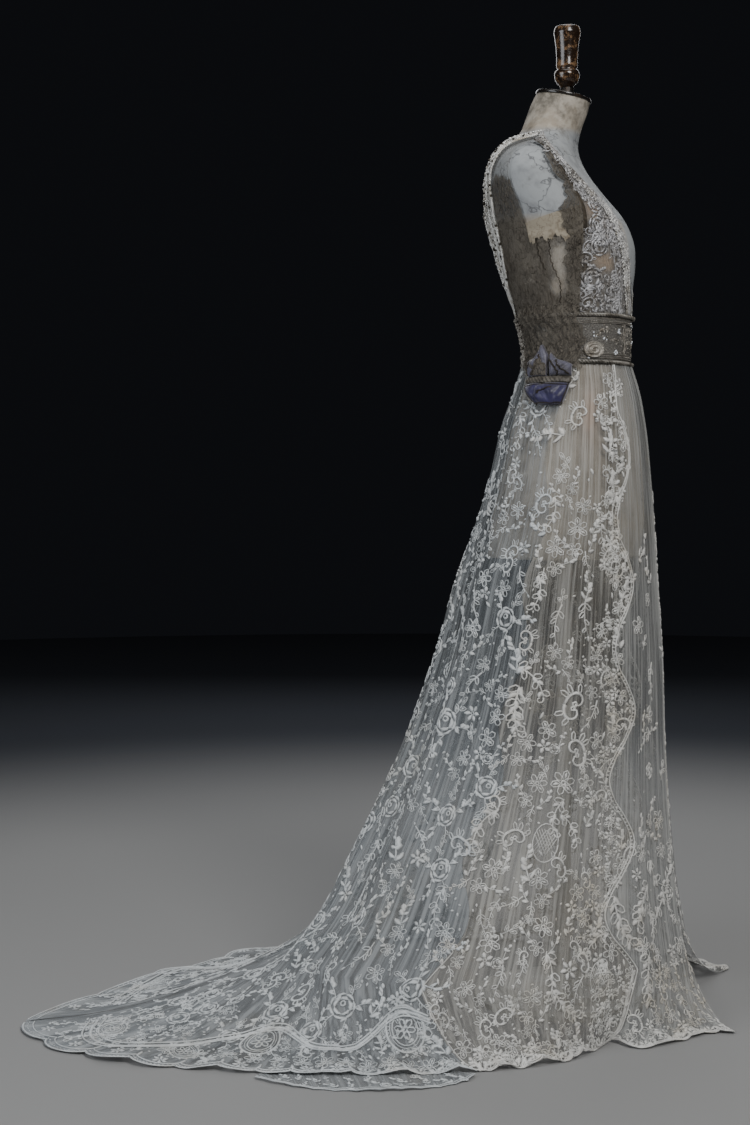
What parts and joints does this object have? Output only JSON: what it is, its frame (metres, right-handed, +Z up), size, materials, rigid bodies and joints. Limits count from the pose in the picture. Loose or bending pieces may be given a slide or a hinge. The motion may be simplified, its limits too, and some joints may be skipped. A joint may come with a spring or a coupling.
{
  "type": "lace gown on dress form",
  "caption": "Trained sleeveless lace gown with a beaded waistband and a violet sash end, standing on an antique limbless dress form with a cap and turned finial",
  "frame": {"origin": "on the floor, on the axis of the stand's pole, at the middle of the base's flat underside", "axes": "+X towards the wearer's front, with the train along -X; +Z up; -Y towards the wearer's right side, which the picture shows"},
  "size_m": [1.1417, 0.9282, 1.618],
  "materials": {
    "linen": "aged off-white linen, smooth",
    "lacquer": "glossy dark lacquer",
    "tortoiseshell": "mottled brown and black gloss",
    "iron": "blackened",
    "silver_lace": "silver-grey corded lace on net",
    "tarnished_net": "brown-grey worn net",
    "net": "fine ivory net, semi-transparent",
    "lace": "dense ivory floral lace",
    "train_lace": "cool ivory border lace",
    "beaded_trim": "cream trim with beads and sequins",
    "dark_strip": "dark brown worn silk",
    "band_lace": "taupe metallic lace",
    "braid": "twisted metallic cord",
    "satin": "violet satin"
  },
  "bodies": {
    "root": {"form_torso": "linen", "form_cap": "lacquer", "form_collar": "iron", "form_finial": "tortoiseshell", "stand_pole": "iron", "stand_base": "iron", "bodice_front_R": "silver_lace", "bodice_front_L": "silver_lace", "bodice_side_R": "tarnished_net", "bodice_side_L": "tarnished_net", "bodice_back_R": "net", "bodice_back_L": "net", "neckline_band_R": "beaded_trim", "neckline_band_L": "beaded_trim", "armhole_strip_R": "dark_strip", "armhole_strip_L": "dark_strip", "back_strap_R": "beaded_trim", "back_strap_L": "beaded_trim", "waistband": "band_lace", "medallion": "band_lace", "braid_top": "braid", "braid_bottom": "braid", "sash_loop_front": "satin", "sash_loop_back": "satin", "sash_braid": "braid", "sash_pouch": "satin", "skirt_front_R": "net", "skirt_front_L": "net", "skirt_side_R": "lace", "skirt_side_L": "lace", "skirt_back_R": "net", "skirt_back_L": "net", "train_border_R": "train_lace", "train_border_L": "train_lace", "under_net_hem_R": "net"}
  },
  "joints": []
}
